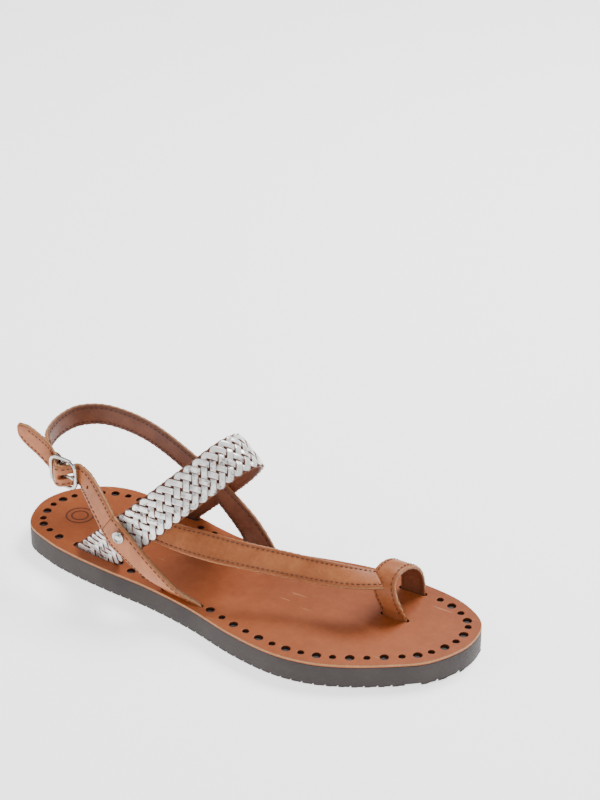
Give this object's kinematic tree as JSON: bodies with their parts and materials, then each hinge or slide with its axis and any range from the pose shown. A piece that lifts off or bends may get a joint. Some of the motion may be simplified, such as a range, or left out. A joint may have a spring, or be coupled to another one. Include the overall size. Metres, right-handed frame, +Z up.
{
  "type": "slingback sandal",
  "caption": "Leather toe-loop slingback sandal with a plaited foil instep strap, a perforated footbed, a buckled heel strap and a ribbed rubber sole.",
  "frame": {"origin": "the middle of the sole's outline box, on the ground", "axes": "+X towards the toe, +Y towards the inner side of the foot, +Z up"},
  "size_m": [0.2517, 0.0897, 0.0847],
  "materials": {
    "rubber": "matte",
    "footbed_leather": "satin",
    "strap_leather": "satin",
    "lining_leather": "matte",
    "foil_leather": "metallic foil",
    "elastic_web": "matte",
    "steel": "satin"
  },
  "bodies": {
    "sandal": {"outsole": "rubber", "footbed": "footbed_leather", "braid": "foil_leather", "braid_lining": "lining_leather", "quarter": "strap_leather", "quarter_lining": "lining_leather", "billet": "strap_leather", "billet_lining": "lining_leather", "sling": "strap_leather", "sling_lining": "lining_leather", "elastic": "elastic_web", "buckle_frame": "steel", "toe_strap": "strap_leather", "toe_strap_lining": "lining_leather", "toe_loop": "strap_leather", "toe_loop_lining": "lining_leather", "stud": "steel", "stud_washer": "steel"},
    "prong": {"buckle_prong": "steel"}
  },
  "joints": [
    {"name": "prong_hinge", "type": "hinge", "parent": "sandal", "child": "prong", "pos_m": [-0.09, -0.018, 0.057], "axis": [0, 0, -1], "range_deg": [0, 18]}
  ]
}
